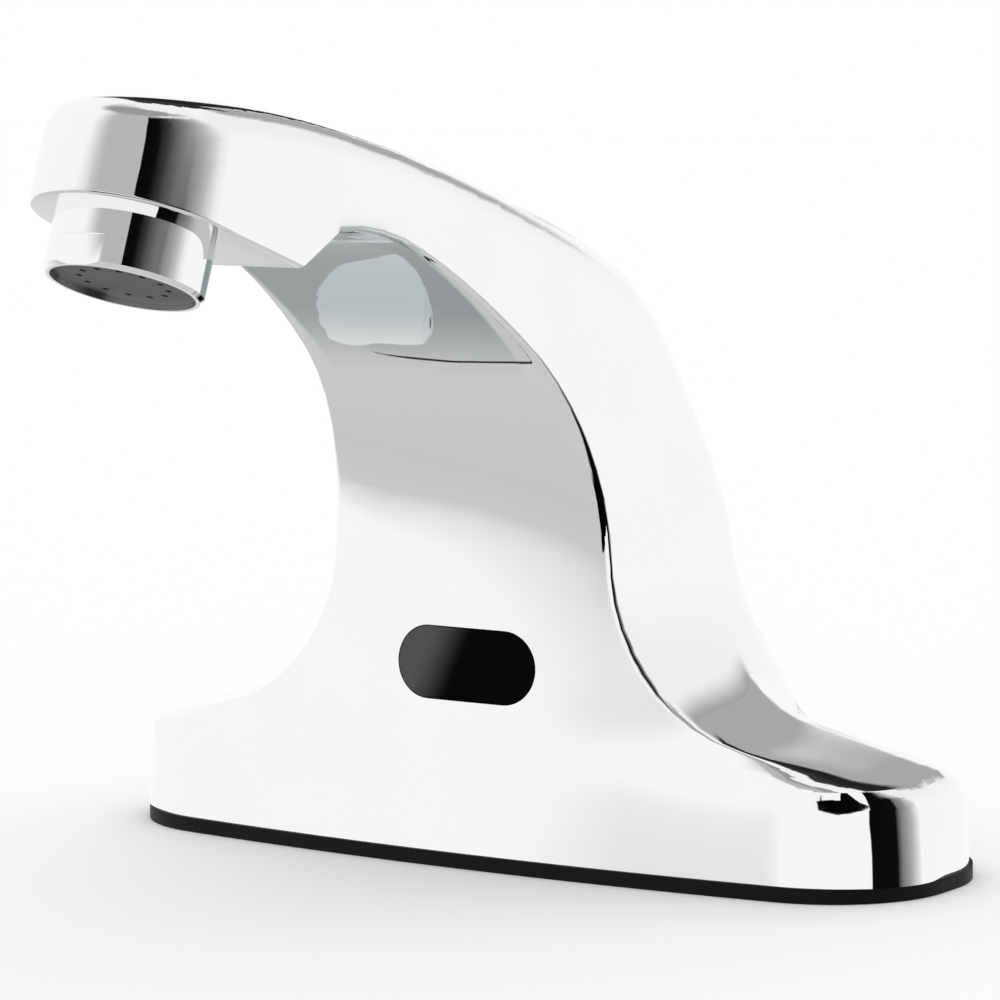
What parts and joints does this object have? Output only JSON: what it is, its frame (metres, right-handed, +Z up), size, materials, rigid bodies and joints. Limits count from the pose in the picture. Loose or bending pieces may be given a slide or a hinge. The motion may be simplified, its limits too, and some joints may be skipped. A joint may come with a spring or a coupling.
{
  "type": "deck-mounted sensor tap",
  "caption": "Chrome sensor tap: one-piece arched spout on a two-foot deck base, dark sensor window, solenoid valve and screwed aerator.",
  "frame": {"origin": "on the deck, under the middle of the base, in the plane of the gasket's lower face", "axes": "+Z up, the spout points to -Y, the two feet lie along X"},
  "size_m": [0.156, 0.1567, 0.1299],
  "materials": {
    "chrome_casting": "polished chrome plate on brass",
    "chrome_trim": "polished chrome plate",
    "brass": "machined",
    "copper": "drawn copper",
    "steel": "stainless",
    "black_rubber": "matte",
    "grey_plastic": "moulded",
    "black_plastic": "moulded",
    "white_plastic": "moulded",
    "board_green": "solder mask",
    "dark_lens": "polished, passes infrared",
    "clear_epoxy": "cast lens",
    "dark_epoxy": "cast lens"
  },
  "bodies": {
    "tap": {"body": "chrome_casting", "base_gasket": "black_rubber", "stud_inserts": "brass", "base_plate": "grey_plastic", "plate_screws": "steel", "block_screws": "steel", "lead_gland": "black_rubber", "sensor_window": "dark_lens", "window_seal": "black_rubber", "sensor_housing": "black_plastic", "circuit_board": "board_green", "sensor_chip": "black_plastic", "infrared_emitter": "clear_epoxy", "infrared_receiver": "dark_epoxy", "sensor_screws": "steel", "inlet_fitting": "brass", "inlet_strainer": "steel", "inlet_seal": "black_rubber", "check_guide": "white_plastic", "check_spring": "steel", "valve_block": "white_plastic", "tube_seal": "black_rubber", "diaphragm": "black_rubber", "bonnet": "black_plastic", "bonnet_screws": "steel", "core_tube": "steel", "pole_stop": "steel", "plunger_spring": "steel", "coil_bobbin": "black_plastic", "coil_winding": "copper", "coil_yoke": "steel", "spout_tube": "copper", "tube_sleeve": "white_plastic", "aerator_housing": "chrome_trim", "aerator_washer": "black_rubber", "spray_face": "grey_plastic", "lower_screen": "steel", "upper_screen": "steel", "flow_regulator": "white_plastic"},
    "plunger": {"plunger": "steel", "pilot_seat": "black_rubber"},
    "diaphragm_disc": {"diaphragm_disc": "white_plastic"},
    "check_poppet": {"check_poppet": "white_plastic"}
  },
  "joints": [
    {"name": "plunger_lift", "type": "slide", "parent": "tap", "child": "plunger", "axis": [0, 0, 1], "range_m": [0, 0.002], "stiffness_N_per_m": 300, "springref_m": -0.002, "deforming": ["plunger_spring"]},
    {"name": "diaphragm_lift", "type": "slide", "parent": "tap", "child": "diaphragm_disc", "axis": [0, 0, 1], "range_m": [0, 0.0016], "deforming": ["diaphragm"]},
    {"name": "check_lift", "type": "slide", "parent": "tap", "child": "check_poppet", "axis": [0, 0, 1], "range_m": [0, 0.0024], "stiffness_N_per_m": 60, "springref_m": -0.002, "deforming": ["check_spring"]}
  ],
  "couplings": [
    {"joint": "diaphragm_lift", "follows": "plunger_lift", "ratio": 0.8}
  ]
}
